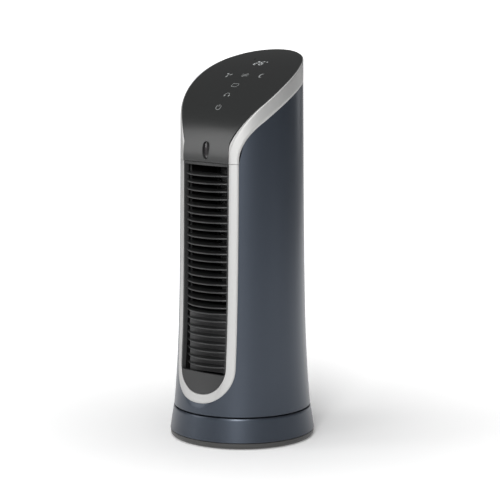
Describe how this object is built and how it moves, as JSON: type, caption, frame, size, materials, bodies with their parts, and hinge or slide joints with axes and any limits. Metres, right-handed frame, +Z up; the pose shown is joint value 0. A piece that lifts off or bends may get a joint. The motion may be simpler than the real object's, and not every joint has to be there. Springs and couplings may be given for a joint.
{
  "type": "tower fan",
  "caption": "Compact oscillating tower fan: flared round tower on a swivel base, curved slat outlet, sloping control panel, cross-flow impeller with motor, and geared oscillation drive.",
  "frame": {"origin": "centre of the footprint on the floor, on the swivel axis", "axes": "+Z up along the swivel axis; the air leaves towards -Y; +X completes the right-handed frame"},
  "size_m": [0.2284, 0.2308, 0.6006],
  "materials": {
    "housing_blue": "satin metallic paint",
    "trim_silver": "satin silver paint",
    "panel_black": "satin gloss",
    "lens_dark": "clear dark",
    "sensor_dark": "gloss",
    "board_green": "matt",
    "display_grey": "matt",
    "grille_black": "satin",
    "duct_grey": "matt",
    "duct_black": "matt",
    "bronze": "sintered",
    "impeller_black": "satin",
    "steel_bright": "satin",
    "stator_steel": "laminated",
    "rubber_black": "matt",
    "gear_white": "satin",
    "cover_black": "satin"
  },
  "bodies": {
    "base": {"base_shell": "housing_blue", "slide_ring": "gear_white", "cord_gland": "rubber_black", "base_cover": "cover_black", "rubber_feet": "rubber_black", "base_screws": "steel_bright", "fixed_gear": "gear_white", "gear_keeper": "steel_bright", "keeper_screws": "steel_bright"},
    "tower": {"housing": "housing_blue", "lower_trim": "trim_silver", "upper_trim": "trim_silver", "control_panel": "panel_black", "remote_lens": "lens_dark", "light_sensor": "sensor_dark", "control_board": "board_green", "display_module": "display_grey", "front_grille": "grille_black", "outlet_blank": "duct_grey", "air_duct": "duct_black", "duct_cover": "duct_black", "upper_bearing": "bronze", "motor_case": "steel_bright", "motor_stator": "stator_steel", "motor_bracket": "steel_bright", "motor_grommets": "rubber_black", "motor_bolts": "steel_bright", "turntable": "duct_black", "turntable_screws": "steel_bright", "swing_motor": "steel_bright", "swing_motor_screws": "steel_bright", "power_board": "board_green", "power_transformer": "stator_steel", "run_capacitor": "display_grey"},
    "fan_rotor": {"impeller": "impeller_black", "motor_shaft": "steel_bright"},
    "pinion": {"drive_pinion": "gear_white"}
  },
  "joints": [
    {"name": "oscillation", "type": "hinge", "parent": "base", "child": "tower", "pos_m": [0, 0, 0.05], "axis": [0, 0, 1], "range_deg": [-35, 35]},
    {"name": "impeller_spin", "type": "hinge", "parent": "tower", "child": "fan_rotor", "pos_m": [0.004, 0.01, 0.214], "axis": [0, 0, 1], "continuous": true},
    {"name": "pinion_spin", "type": "hinge", "parent": "tower", "child": "pinion", "pos_m": [0, 0.0375, 0.06], "axis": [0, 0, 1], "range_deg": [-141, 141]}
  ],
  "couplings": [
    {"joint": "pinion_spin", "follows": "oscillation", "ratio": 4}
  ]
}
